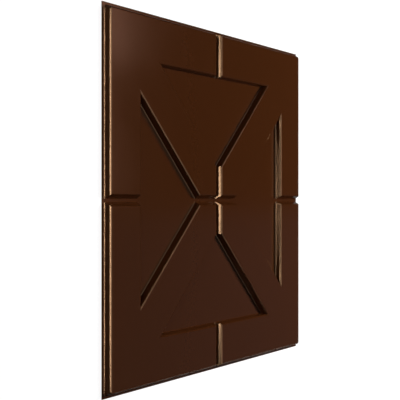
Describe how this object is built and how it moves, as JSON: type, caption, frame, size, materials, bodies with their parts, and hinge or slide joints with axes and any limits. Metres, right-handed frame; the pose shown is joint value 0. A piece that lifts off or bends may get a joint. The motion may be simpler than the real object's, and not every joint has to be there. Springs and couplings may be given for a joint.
{
  "type": "textured wall panel",
  "caption": "Square thermoformed plastic wall panel with raised corner plates, diagonal arms, triangular recesses, narrow grooves and a flat edge flange, hollow behind.",
  "frame": {"origin": "centre of the back plane of the base sheet, where the panel lies on the floor or wall", "axes": "+Z out of the decorated face, +X and +Y along the square's sides"},
  "size_m": [0.4984, 0.4984, 0.0103],
  "materials": {
    "panel_plastic": "satin dark bronze-brown moulded PVC with a fine skin"
  },
  "bodies": {
    "root": {"wall_panel": "panel_plastic"}
  },
  "joints": []
}
